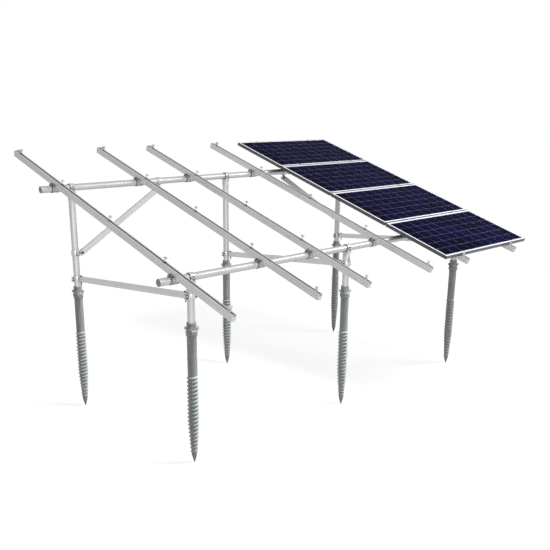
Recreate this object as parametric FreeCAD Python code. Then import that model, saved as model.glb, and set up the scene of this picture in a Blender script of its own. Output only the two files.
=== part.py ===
"""Ground mount for solar panels: six ground screws, six posts, two beams,
six sloping rails, braces, and one column of four panels on the two right rails.

Millimetres, +Z up. The screws' tips stand on Z = 0. X runs along the beams and
+Y to the high rear side. The origin is the bottom centre of the bounding box.
"""
import FreeCAD
import Part

import math
import os

Vector = FreeCAD.Vector

# Layout
column_spacing = 2035.0
row_spacing = 1865.0
tilt = 18.0
front_beam_above_screw = 395.0

# Ground screw
screw_length = 1315.0
screw_radius = 43.5
screw_wall = 4.0
screw_tip_radius = 4.0
screw_tip_length = 70.0
screw_tip_shoulder_radius = 25.0
screw_taper_top = 400.0
socket_depth = 200.0
socket_ledge = 5.0
socket_ledge_height = 12.0
band_radius = 50.0
band_height = 48.0
band_below_top = 72.0

# Welded helical flight of the screw
flight_pitch = 37.0
flight_reach = 11.0
flight_root_width = 15.0
flight_bottom = 96.0
flight_top = 830.0

# Tubes of the posts and beams
tube_radius = 33.0
tube_wall = 3.0
beam_left_overhang = 149.0
beam_right_overhang = 157.0
fit_clearance = 0.3

# Post head
head_width = 50.0
head_wall = 8.0
head_sleeve_wall = 3.5
head_height = 130.0
head_solid_below_beam = 34.0
head_ear_reach = 14.0
head_ear_thickness = 7.0
head_split = 3.0

# Rails
rail_width = 44.0
rail_height = 60.0
rail_past_lower_panel = 74.0
rail_past_upper_panel = 98.0
rail_wall = 2.5
rail_end_plate = 6.0
rail_slot_width = 17.0
rail_slot_chamber_width = 28.0
rail_slot_chamber_depth = 11.0
rail_groove_depth = 1.2
rail_groove_width = 4.0
rail_groove_heights = (14.0, 30.0, 46.0)
rail_pair_spacing = 984.0
rail_column_pitch = 1658.0
rail_layout_offset = -65.0

# Clamps that hold the rails on the beams
rail_clamp_side_reach = 18.0
rail_clamp_short_reach = 2.5
rail_clamp_wall = 5.0
rail_clamp_lip = 9.0

# Panels
panel_width = 1650.0
panel_depth = 822.0
panel_height = 38.0
panel_gap = 20.0
panel_count = 4
panel_lower_edge = -685.5
panel_column_centre = 1595.0
frame_wall = 2.0
frame_lip = 12.0
frame_shelf = 10.0
frame_foot = 28.0
frame_mitre_gap = 0.2
laminate_thickness = 5.0
junction_box_size = (112.0, 92.0, 22.0)
junction_box_from_edge = 95.0

# Clamps that hold the panels on the rails
end_clamp_width = 44.0
mid_clamp_width = 24.0
panel_clamp_plate = 4.0
panel_clamp_reach = 7.0
clamp_foot_width = 24.0
clamp_foot_length = 20.0
clamp_foot_height = 6.0
clamp_bolt_radius = 5.0
bare_rail_clamp_slack = 14.0

# Braces
brace_height = 54.0
brace_width = 30.0
brace_wall = 2.5
brace_end_gap = 6.0
side_brace_above_screw = 79.0
side_brace_below_beam = 164.0
rear_brace_above_screw = 298.0
rear_brace_from_rail = 201.0
collar_wall = 6.0
collar_height = 56.0
lug_length = 46.0
lug_thickness = 12.0
beam_lug_drop = 75.0
rear_collar_pivot_reach = 75.0
pivot_lug_radius = 18.0
brace_past_bolt = 14.0

# Beam end caps
cap_thickness = 3.0
cap_plug_length = 20.0

slope = math.radians(tilt)
front_beam_height = screw_length + front_beam_above_screw
rear_beam_height = front_beam_height + row_spacing * math.tan(slope)
columns = {"left": -column_spacing, "middle": 0.0, "right": column_spacing}
rows = {"front": (0.0, front_beam_height), "rear": (row_spacing, rear_beam_height)}
rail_xs = [
    rail_layout_offset + column * rail_column_pitch + side * rail_pair_spacing / 2
    for column in (-1, 0, 1)
    for side in (-1, 1)
]
rear_brace_beam_x = rail_column_pitch - rail_pair_spacing / 2 - rear_brace_from_rail
beam_left = rail_xs[0] - beam_left_overhang
beam_right = rail_xs[-1] + beam_right_overhang
rail_bottom = tube_radius
rail_top = rail_bottom + rail_height
panel_pitch = panel_depth + panel_gap
panel_top_edge = panel_lower_edge + panel_count * panel_pitch - panel_gap
rail_start = panel_lower_edge - rail_past_lower_panel
rail_end = panel_top_edge + rail_past_upper_panel
post_foot = screw_length - socket_depth
X_AXIS = Vector(1, 0, 0)
Y_AXIS = Vector(0, 1, 0)
Z_AXIS = Vector(0, 0, 1)
parts = {}


def on_slope(shape, x=0.0):
    """Place a shape drawn flat (Y up the slope, Z off it) on the tilted plane."""
    placed = shape.copy()
    placed.rotate(Vector(0, 0, 0), X_AXIS, tilt)
    placed.translate(Vector(x, 0, front_beam_height))
    return placed


def box(low, high):
    """A box between two corners."""
    low, high = Vector(*low), Vector(*high)
    size = high - low
    return Part.makeBox(size.x, size.y, size.z, low)


def prism(points, direction):
    """A closed outline of points, extruded along a vector."""
    wire = Part.makePolygon([Vector(*p) for p in points + points[:1]])
    return Part.Face(wire).extrude(direction)


def revolve(profile, x, y):
    """A closed (radius, height) outline turned about a vertical axis at x, y."""
    wire = Part.makePolygon([Vector(r, 0, z) for r, z in profile + profile[:1]])
    solid = Part.Face(wire).revolve(Vector(0, 0, 0), Z_AXIS, 360)
    solid.translate(Vector(x, y, 0))
    return solid


def cylinder(radius, length, start, axis):
    """A solid cylinder from a start point along an axis."""
    return Part.makeCylinder(radius, length, Vector(*start), axis)


def tube(radius, wall, length, start, axis):
    """A round tube from a start point along an axis."""
    outer = cylinder(radius, length, start, axis)
    return outer.cut(cylinder(radius - wall, length, start, axis))


def core_radius(height):
    """The screw shaft's outer radius at a height on its tapered part."""
    share = (height - screw_tip_length) / (screw_taper_top - screw_tip_length)
    share = min(max(share, 0.0), 1.0)
    return screw_tip_shoulder_radius + share * (screw_radius - screw_tip_shoulder_radius)


def screw_shaft():
    """The hollow pointed shaft with its clamping band and the post's socket."""
    band_bottom = screw_length - band_below_top - band_height
    outside = [
        (0.0, 0.0),
        (screw_tip_radius, 0.0),
        (screw_tip_shoulder_radius, screw_tip_length),
        (screw_radius, screw_taper_top),
        (screw_radius, band_bottom),
        (band_radius, band_bottom),
        (band_radius, band_bottom + band_height),
        (screw_radius, band_bottom + band_height),
        (screw_radius, screw_length),
    ]
    bore = screw_radius - screw_wall
    socket = tube_radius + fit_clearance
    ledge = tube_radius - socket_ledge
    tip_bore = screw_tip_shoulder_radius - screw_wall
    inside = [
        (socket, screw_length),
        (socket, post_foot),
        (ledge, post_foot),
        (ledge, post_foot - socket_ledge_height),
        (bore, post_foot - socket_ledge_height),
        (bore, screw_taper_top),
        (tip_bore, screw_tip_length),
        (0.0, screw_tip_length),
    ]
    return revolve(outside + inside, 0, 0)


def flight(bottom, top, reach):
    """One stretch of the helical flight, from one height to another."""
    half = flight_root_width / 2
    widening = (core_radius(top) - core_radius(bottom)) / (top - bottom)
    inner = core_radius(bottom) + widening * half + fit_clearance
    angle = math.degrees(math.atan(widening))
    path = Part.makeLongHelix(flight_pitch, top - bottom, inner, angle)
    profile = Part.makePolygon([
        Vector(inner, 0, -half),
        Vector(inner + reach, 0, -half / 4),
        Vector(inner + reach, 0, half / 4),
        Vector(inner, 0, half),
        Vector(inner, 0, -half),
    ])
    strip = path.makePipeShell([profile], True, True)
    strip.translate(Vector(0, 0, bottom))
    return strip


def ground_screw():
    """The shaft with its lower, tapering and its upper, straight flight."""
    join = screw_taper_top + flight_root_width
    lower = flight(flight_bottom, screw_taper_top - flight_root_width, flight_reach)
    upper = flight(join, flight_top, flight_reach)
    return Part.makeCompound([screw_shaft(), lower, upper])


def post(x, y, beam_height):
    """A post from its seat in the screw to its seat under the beam."""
    top = beam_height - tube_radius - head_solid_below_beam
    return tube(tube_radius, tube_wall, top - post_foot, (x, y, post_foot), Z_AXIS)


def post_head(x, y, beam_height):
    """The cast head: a round sleeve on the post that widens to half a beam clamp."""
    outer = tube_radius + head_wall
    half = head_width / 2
    low = beam_height - head_height
    neck = beam_height - tube_radius - head_solid_below_beam
    round_end = Part.makeCircle(tube_radius + head_sleeve_wall, Vector(0, 0, low), Z_AXIS)
    corner = 14.0
    wide = [(-half + corner, -outer), (half - corner, -outer), (half, -outer + corner),
            (half, outer - corner), (half - corner, outer), (-half + corner, outer),
            (-half, outer - corner), (-half, -outer + corner)]
    wide_end = Part.makePolygon([Vector(a, b, neck + head_solid_below_beam / 2)
                                 for a, b in wide + wide[:1]])
    body = Part.makeLoft([Part.Wire(round_end), wide_end], True, True)
    cheek = box((-half, -outer, neck + head_solid_below_beam / 2), (half, outer, beam_height))
    ear_low = beam_height - head_ear_thickness
    reach = outer + head_ear_reach
    ears = box((-half, -reach, ear_low), (half, reach, beam_height))
    body = body.fuse([cheek, ears])
    bore = tube_radius + fit_clearance / 10
    body = body.cut([
        cylinder(tube_radius + fit_clearance, neck - low, (0, 0, low), Z_AXIS),
        cylinder(bore, head_width, (-half, 0, beam_height), X_AXIS),
        box((-half, -reach, beam_height - head_split / 2), (half, reach, beam_height)),
    ])
    body.translate(Vector(x, y, 0))
    return body.removeSplitter()


def head_cap(x, y, beam_height):
    """The upper half of the beam clamp, bolted down at its two ears."""
    outer = tube_radius + head_wall
    half = head_width / 2
    reach = outer + head_ear_reach
    ring = cylinder(outer, head_width, (x - half, y, beam_height), X_AXIS)
    ears = box((x - half, y - reach, beam_height),
               (x + half, y + reach, beam_height + head_ear_thickness))
    bore = cylinder(tube_radius + fit_clearance / 10, head_width, (x - half, y, beam_height), X_AXIS)
    below = box((x - half, y - reach, beam_height - outer),
                (x + half, y + reach, beam_height + head_split / 2))
    return ring.fuse(ears).cut([bore, below]).removeSplitter()


def beam(y, height):
    """A beam tube along X."""
    return tube(tube_radius, tube_wall, beam_right - beam_left, (beam_left, y, height), X_AXIS)


def beam_cap(x, y, height, outward):
    """A cap that plugs a beam's end."""
    lip = cylinder(tube_radius, cap_thickness, (x, y, height), X_AXIS * outward)
    plug_radius = tube_radius - tube_wall - fit_clearance
    plug = cylinder(plug_radius, cap_plug_length, (x, y, height), X_AXIS * -outward)
    return lip.fuse(plug)


def rail_section():
    """The rail's face: a box with a slot on top and shallow grooves in its sides."""
    half = rail_width / 2
    outline = [(half, 0.0)]
    for height in rail_groove_heights:
        low, high = height - rail_groove_width / 2, height + rail_groove_width / 2
        outline += [(half, low), (half - rail_groove_depth, low),
                    (half - rail_groove_depth, high), (half, high)]
    outline.append((half, rail_height))
    slot = rail_slot_width / 2
    chamber = rail_slot_chamber_width / 2
    chamber_floor = rail_height - rail_wall - rail_slot_chamber_depth
    outline += [(slot, rail_height), (slot, rail_height - rail_wall),
                (chamber, rail_height - rail_wall), (chamber, chamber_floor)]
    mirrored = [(-x, z) for x, z in reversed(outline)]
    inner = half - rail_wall - rail_groove_depth
    hollow = [(-inner, rail_wall), (inner, rail_wall),
              (inner, chamber_floor - rail_wall), (-inner, chamber_floor - rail_wall)]
    faces = []
    for points in (outline + mirrored, hollow):
        wire = Part.makePolygon([Vector(x, 0, z) for x, z in points + points[:1]])
        faces.append(Part.Face(wire))
    return faces[0].cut(faces[1])


def rail(x):
    """One sloping rail, closed at both ends by a plate."""
    flat = rail_section().extrude(Y_AXIS * (rail_end - rail_start))
    flat.translate(Vector(0, rail_start, rail_bottom))
    half = rail_width / 2
    plates = [box((-half, start, rail_bottom), (half, start + rail_end_plate, rail_top))
              for start in (rail_start - rail_end_plate, rail_end)]
    return on_slope(flat.fuse(plates).removeSplitter(), x)


def clamp_edge(x, side):
    """How far a rail clamp reaches from the rail's centre on one side."""
    edge = rail_width / 2 + rail_clamp_side_reach
    heads = [abs(x + side * edge - column) for column in columns.values()]
    if min(heads) < head_width / 2 + fit_clearance:
        return rail_width / 2 + rail_clamp_short_reach
    return edge


def rail_clamp(x, y, height):
    """A strap under a beam whose lips take the bolts beside the rail.

    Next to a post head the lip on that side is short.
    """
    low, high = -clamp_edge(x, -1), clamp_edge(x, 1)
    outer = tube_radius + rail_clamp_wall
    ring = cylinder(outer, high - low, (low, 0, 0), X_AXIS)
    cheeks = box((low, -outer, 0), (high, outer, rail_bottom))
    bore = cylinder(tube_radius, high - low, (low, 0, 0), X_AXIS)
    strap = ring.common(box((low, -outer, -outer), (high, outer, 0))).fuse(cheeks)
    strap = strap.cut([bore, box((low, -tube_radius, 0), (high, tube_radius, rail_bottom))])
    side = rail_width / 2 + fit_clearance
    lips = [box((start, -outer, rail_bottom), (end, outer, rail_bottom + rail_clamp_lip))
            for start, end in ((low, -side), (side, high))]
    strap = strap.fuse(lips).removeSplitter()
    strap.rotate(Vector(0, 0, 0), X_AXIS, tilt)
    strap.translate(Vector(x, y, height))
    return strap


def mitred_bar(length, section):
    """A frame bar along X from a (depth, height) section, mitred at both ends."""
    half = length / 2
    face = Part.Face(Part.makePolygon([Vector(-half, y, z) for y, z in section + section[:1]]))
    bar = face.extrude(X_AXIS * length)
    reach = max(y for y, z in section) * 2
    gap = frame_mitre_gap
    for side in (-1, 1):
        corner = [(side * (half - gap), 0), (side * (half + reach), 0),
                  (side * (half + reach), reach), (side * (half - gap - reach), reach)]
        bar = bar.cut(prism([(x, y, -1) for x, y in corner], Z_AXIS * (panel_height + 2)))
    return bar


def frame_section():
    """The frame bar's section, its outer face at depth 0."""
    seat = panel_height - frame_wall - laminate_thickness
    return [
        (0.0, 0.0), (frame_foot, 0.0), (frame_foot, frame_wall), (frame_wall, frame_wall),
        (frame_wall, seat - frame_wall), (frame_shelf, seat - frame_wall), (frame_shelf, seat),
        (frame_wall, seat), (frame_wall, seat + laminate_thickness),
        (frame_lip, seat + laminate_thickness), (frame_lip, panel_height), (0.0, panel_height),
    ]


def panel_frame(lower_edge):
    """The four mitred bars of one panel."""
    bars = []
    for turn, length, across in (
        (0, panel_width, panel_depth), (90, panel_depth, panel_width),
        (180, panel_width, panel_depth), (270, panel_depth, panel_width),
    ):
        bar = mitred_bar(length, frame_section())
        bar.translate(Vector(0, -across / 2, 0))
        bar.rotate(Vector(0, 0, 0), Z_AXIS, turn)
        bar.translate(Vector(0, lower_edge + panel_depth / 2, rail_top))
        bars.append(on_slope(bar, panel_column_centre))
    return Part.makeCompound(bars)


def laminate(lower_edge):
    """The glass, cells and back sheet of one panel as one sheet."""
    inset = frame_wall + fit_clearance
    seat = rail_top + panel_height - frame_wall - laminate_thickness
    sheet = box((-panel_width / 2 + inset, lower_edge + inset, seat),
                (panel_width / 2 - inset, lower_edge + panel_depth - inset, seat + laminate_thickness))
    return on_slope(sheet, panel_column_centre)


def junction_box(lower_edge):
    """The junction box under a laminate's upper edge."""
    width, depth, height = junction_box_size
    upper = lower_edge + panel_depth - junction_box_from_edge
    underside = rail_top + panel_height - frame_wall - laminate_thickness
    body = box((-width / 2, upper - depth, underside - height), (width / 2, upper, underside))
    edges = [e for e in body.Edges if abs(e.tangentAt(e.FirstParameter).z) > 0.9]
    return on_slope(body.makeFillet(width / 14, edges), panel_column_centre)


def end_clamp(x, edge, outward):
    """A hooked plate at the outer edge of the panel column, with its foot on the rail.

    On a bare rail it stands a little further out.
    """
    if abs(x - panel_column_centre) > panel_width / 2:
        edge += outward * bare_rail_clamp_slack
    half = end_clamp_width / 2
    top = rail_top + panel_height
    near = edge + outward * fit_clearance
    far = near + outward * panel_clamp_plate
    tip = edge - outward * panel_clamp_reach
    section = [(near, rail_top), (near, top), (tip, top), (tip, top + panel_clamp_plate),
               (far, top + panel_clamp_plate), (far, rail_top)]
    hook = prism([(-half, y, z) for y, z in section], X_AXIS * 2 * half)
    low, high = sorted((near, far + outward * clamp_foot_length))
    foot = box((-clamp_foot_width / 2, low, rail_top),
               (clamp_foot_width / 2, high, rail_top + clamp_foot_height))
    return on_slope(hook.fuse(foot).removeSplitter(), x)


def mid_clamp(x, lower_edge):
    """A plate on a bolt and a foot between two panels, or on a bare rail where they would meet."""
    middle = lower_edge - panel_gap / 2
    foot_reach = panel_gap / 2 - fit_clearance
    plate_reach = panel_gap / 2 + panel_clamp_reach
    top = rail_top + panel_height
    plate = box((-mid_clamp_width / 2, middle - plate_reach, top),
                (mid_clamp_width / 2, middle + plate_reach, top + panel_clamp_plate))
    foot = box((-clamp_foot_width / 2, middle - foot_reach, rail_top),
               (clamp_foot_width / 2, middle + foot_reach, rail_top + clamp_foot_height))
    bolt = cylinder(clamp_bolt_radius, panel_height, (0, middle, rail_top), Z_AXIS)
    return on_slope(plate.fuse([foot, bolt]).removeSplitter(), x)


def aim(shape, start, end):
    """Turn a shape drawn along X so that it runs from start towards end."""
    direction = end - start
    flat = math.degrees(math.atan2(direction.y, direction.x))
    rise = math.degrees(math.asin(direction.z / direction.Length))
    aimed = shape.copy()
    aimed.rotate(Vector(0, 0, 0), Y_AXIS, -rise)
    aimed.rotate(Vector(0, 0, 0), Z_AXIS, flat)
    aimed.translate(start)
    return aimed


def post_gap(start, end):
    """How far from a post's axis a brace starts, so that its corners clear the collar."""
    direction = (end - start).normalize()
    level = math.hypot(direction.x, direction.y)
    corner = brace_height / 2 * abs(direction.z)
    return (tube_radius + collar_wall + brace_end_gap + corner) / level


def brace(start, end, start_gap, end_gap):
    """A rectangular tube between two points, short of each by its gap.

    Each end has a slot for the lug of its clamp.
    """
    low, high = start_gap, (end - start).Length - end_gap
    half_w, half_h = brace_width / 2, brace_height / 2
    outer = box((low, -half_w, -half_h), (high, half_w, half_h))
    inner = box((low, -half_w + brace_wall, -half_h + brace_wall),
                (high, half_w - brace_wall, half_h - brace_wall))
    slot = lug_thickness / 2 + fit_clearance
    slots = [box((first, -slot, -half_h), (last, slot, half_h))
             for first, last in ((low, low + lug_length), (high - lug_length, high))]
    return aim(outer.cut([inner] + slots), start, end)


def clamp_ring(centre, axis):
    """A clamp ring about a tube, and the bore to cut from what joins it."""
    base = centre - axis * (collar_height / 2)
    ring = Part.makeCylinder(tube_radius + collar_wall, collar_height, base, axis)
    bore = Part.makeCylinder(tube_radius, collar_height * 3, base - axis * collar_height, axis)
    return ring, bore


def post_collar(start, end):
    """A clamp ring on a post with a lug that goes into a brace's slot."""
    half_h = brace_height / 2 - brace_wall - fit_clearance
    lug_end = post_gap(start, end) + lug_length - brace_end_gap
    lug = aim(box((tube_radius, -lug_thickness / 2, -half_h),
                  (lug_end, lug_thickness / 2, half_h)), start, end)
    ring, bore = clamp_ring(start, Z_AXIS)
    return ring.fuse(lug).cut(bore).removeSplitter()


def beam_clamp(x):
    """A clamp ring on the rear beam with a lug that hangs into a brace's slot."""
    ring, bore = clamp_ring(Vector(x, row_spacing, rear_beam_height), X_AXIS)
    half = lug_thickness / 2
    bolt_height = rear_beam_height - beam_lug_drop
    plate = box((x - pivot_lug_radius, row_spacing - half, bolt_height),
                (x + pivot_lug_radius, row_spacing + half, rear_beam_height))
    end = cylinder(pivot_lug_radius, lug_thickness, (x, row_spacing - half, bolt_height), Y_AXIS)
    return ring.fuse([plate, end]).cut(bore).removeSplitter()


def pivot_collar(low, high):
    """A clamp ring on a rear post with a level lug that goes into a brace's slot."""
    run = high - low
    pivot = low + run * (rear_collar_pivot_reach / abs(run.x))
    ring, bore = clamp_ring(Vector(low.x, low.y, pivot.z), Z_AXIS)
    half = lug_thickness / 2
    inner, outer = sorted((low.x, pivot.x))
    plate = box((inner, low.y - half, pivot.z - pivot_lug_radius),
                (outer, low.y + half, pivot.z + pivot_lug_radius))
    end = cylinder(pivot_lug_radius, lug_thickness, (pivot.x, low.y - half, pivot.z), Y_AXIS)
    return ring.fuse([plate, end]).cut(bore).removeSplitter()


def add(name, *shapes):
    """Keep one node: its shape, or several solids that don't touch."""
    parts[name] = shapes[0] if len(shapes) == 1 else Part.makeCompound(list(shapes))


def build_supports():
    """Screws, posts and post heads."""
    screw = ground_screw()
    caps = []
    for row, (y, beam_height) in rows.items():
        for column, x in columns.items():
            placed = screw.copy()
            placed.translate(Vector(x, y, 0))
            add(f"ground_screw_{row}_{column}", placed)
            add(f"post_{row}_{column}", post(x, y, beam_height))
        add(f"post_heads_{row}", *[post_head(x, y, beam_height) for x in columns.values()])
        caps += [head_cap(x, y, beam_height) for x in columns.values()]
    add("post_head_caps", *caps)


def build_beams_and_rails():
    """Beams with their end caps, rails and the clamps between them."""
    caps = []
    for row, (y, height) in rows.items():
        add(f"beam_{row}", beam(y, height))
        caps += [beam_cap(beam_left, y, height, -1), beam_cap(beam_right, y, height, 1)]
        add(f"rail_clamps_{row}", *[rail_clamp(x, y, height) for x in rail_xs])
    add("beam_end_caps", *caps)
    for number, x in enumerate(rail_xs, 1):
        add(f"rail_{number}", rail(x))


def build_braces():
    """Side braces between the rows, rear braces up to the beam, and their clamps."""
    front_collars, rear_collars, beam_clamps = [], [], []
    for column, x in columns.items():
        front = Vector(x, 0, front_beam_height - side_brace_below_beam)
        rear = Vector(x, row_spacing, screw_length + side_brace_above_screw)
        gap = post_gap(front, rear)
        add(f"side_brace_{column}", brace(front, rear, gap, gap))
        front_collars.append(post_collar(front, rear))
        rear_collars.append(post_collar(rear, front))
    for column, side in (("left", -1), ("right", 1)):
        low = Vector(side * column_spacing, row_spacing, screw_length + rear_brace_above_screw)
        high = Vector(side * rear_brace_beam_x, row_spacing, rear_beam_height - beam_lug_drop)
        add(f"rear_brace_{column}", brace(low, high, post_gap(low, high), -brace_past_bolt))
        rear_collars.append(pivot_collar(low, high))
        beam_clamps.append(beam_clamp(side * rear_brace_beam_x))
    add("brace_collars_front", *front_collars)
    add("brace_collars_rear", *rear_collars)
    add("brace_clamps_beam", *beam_clamps)


def build_panels():
    """Panels on the right pair of rails, and panel clamps on every rail."""
    edges = [panel_lower_edge + i * panel_pitch for i in range(panel_count)]
    for number, edge in enumerate(edges, 1):
        add(f"panel_frame_{number}", panel_frame(edge))
        add(f"panel_laminate_{number}", laminate(edge))
    add("junction_boxes", *[junction_box(edge) for edge in edges])
    add("panel_end_clamps", *[end_clamp(x, edge, outward) for x in rail_xs
                              for edge, outward in ((panel_lower_edge, -1), (panel_top_edge, 1))])
    add("panel_mid_clamps", *[mid_clamp(x, edge) for x in rail_xs for edge in edges[1:]])


def write_parts():
    """Move the origin to the bottom centre of the whole mount and write each node."""
    os.makedirs("parts", exist_ok=True)
    bounds = Part.makeCompound(list(parts.values())).BoundBox
    shift = Vector(-bounds.Center.x, -bounds.Center.y, -bounds.ZMin)
    for name, shape in parts.items():
        shape.translate(shift)
        shape.exportStep(f"parts/{name}.step")
    size = (bounds.XLength, bounds.YLength, bounds.ZLength)
    print("nodes", len(parts), "size", [round(v, 1) for v in size], "shift", [round(v, 3) for v in shift])


build_supports()
build_beams_and_rails()
build_braces()
build_panels()
write_parts()
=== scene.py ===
"""Looks of a ground mount for solar panels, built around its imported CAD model.

Metres, +Z up. X runs along the two beams and +Y to the high rear side. The six
ground screws stand with their tips on Z = 0.
"""

import logging
import math
from dataclasses import dataclass
from enum import Enum

import bmesh
import bpy
from mathutils import Matrix, Vector


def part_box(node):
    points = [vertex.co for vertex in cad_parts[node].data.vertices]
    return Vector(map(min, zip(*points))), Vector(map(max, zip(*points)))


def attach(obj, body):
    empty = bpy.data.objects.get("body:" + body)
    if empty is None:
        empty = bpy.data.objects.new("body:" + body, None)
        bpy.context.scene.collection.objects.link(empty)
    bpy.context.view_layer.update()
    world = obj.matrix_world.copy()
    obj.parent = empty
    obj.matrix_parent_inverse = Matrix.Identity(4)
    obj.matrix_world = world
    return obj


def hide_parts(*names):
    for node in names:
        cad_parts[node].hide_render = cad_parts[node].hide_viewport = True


logging.basicConfig(level=logging.INFO, format="%(message)s")
log = logging.getLogger("ground_mount")

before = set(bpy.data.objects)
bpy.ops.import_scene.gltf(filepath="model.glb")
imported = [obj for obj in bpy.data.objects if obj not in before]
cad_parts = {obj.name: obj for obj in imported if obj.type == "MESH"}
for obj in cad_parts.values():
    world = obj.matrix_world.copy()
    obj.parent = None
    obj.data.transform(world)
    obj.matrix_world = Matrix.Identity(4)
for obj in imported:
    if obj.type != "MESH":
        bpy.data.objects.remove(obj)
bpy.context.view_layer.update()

Colour = tuple[float, float, float]


def screen(red: int, green: int, blue: int) -> Colour:
    """Turn a colour as it shows on a screen (0 to 255) into the linear one that nodes take.

    Args:
        red: Red as shown.
        green: Green as shown.
        blue: Blue as shown.

    Returns:
        The linear colour.
    """
    def linear(level: int) -> float:
        """One channel made linear."""
        share = level / 255
        return share / 12.92 if share <= 0.04045 else ((share + 0.055) / 1.055) ** 2.4

    return linear(red), linear(green), linear(blue)


def middle(node: str) -> Vector:
    """The middle of a CAD node's box."""
    low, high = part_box(node)
    return (low + high) / 2


def slid(x: float, y: float, z: float) -> Matrix:
    """A shift."""
    return Matrix.Translation((x, y, z))


def turned(degrees: float, axis: str) -> Matrix:
    """A turn about X, Y or Z."""
    return Matrix.Rotation(math.radians(degrees), 4, axis)


class Row(Enum):
    """The two rows of posts."""

    FRONT = "front"
    REAR = "rear"


class Column(Enum):
    """The three columns of posts."""

    LEFT = "left"
    MIDDLE = "middle"
    RIGHT = "right"


@dataclass(frozen=True)
class Layout:
    """Where the CAD model puts its beams, posts and rails.

    Attributes:
        front: A point of the front beam's axis at X = 0.
        rear: A point of the rear beam's axis at X = 0.
        tilt: Slope of the rails in radians.
        screw_top: Height of the ground screws' upper rims.
        rails: X of each rail's middle, from left to right.
    """

    front: Vector
    rear: Vector
    tilt: float
    screw_top: float
    rails: tuple[float, ...]

    @classmethod
    def read(cls) -> "Layout":
        """Read the places from the CAD nodes' boxes."""
        front, rear = middle("beam_front"), middle("beam_rear")
        front.x = rear.x = 0.0
        run = rear - front
        return cls(
            front=front,
            rear=rear,
            tilt=math.atan2(run.z, run.y),
            screw_top=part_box("ground_screw_front_left")[1].z,
            rails=tuple(middle(f"rail_{number}").x for number in range(1, 7)),
        )

    def post(self, row: Row, column: Column) -> Vector:
        """The foot of a post's axis on the ground plane."""
        centre = middle(f"post_{row.value}_{column.value}")
        return Vector((centre.x, centre.y, 0.0))

    def beam(self, row: Row) -> Vector:
        """A point of a beam's axis at X = 0."""
        return self.front if row is Row.FRONT else self.rear

    def slope(self, x: float, along: float, off: float) -> Matrix:
        """A place on the tilted plane, with Y up the slope and Z off it.

        Args:
            x: Place along the beams.
            along: Distance up the slope from the front beam.
            off: Distance off the plane through the beams' axes.

        Returns:
            The matrix that puts a form drawn about the origin there.
        """
        tilted = Matrix.Translation(self.front) @ Matrix.Rotation(self.tilt, 4, "X")
        return tilted @ slid(x, along, off)


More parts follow.
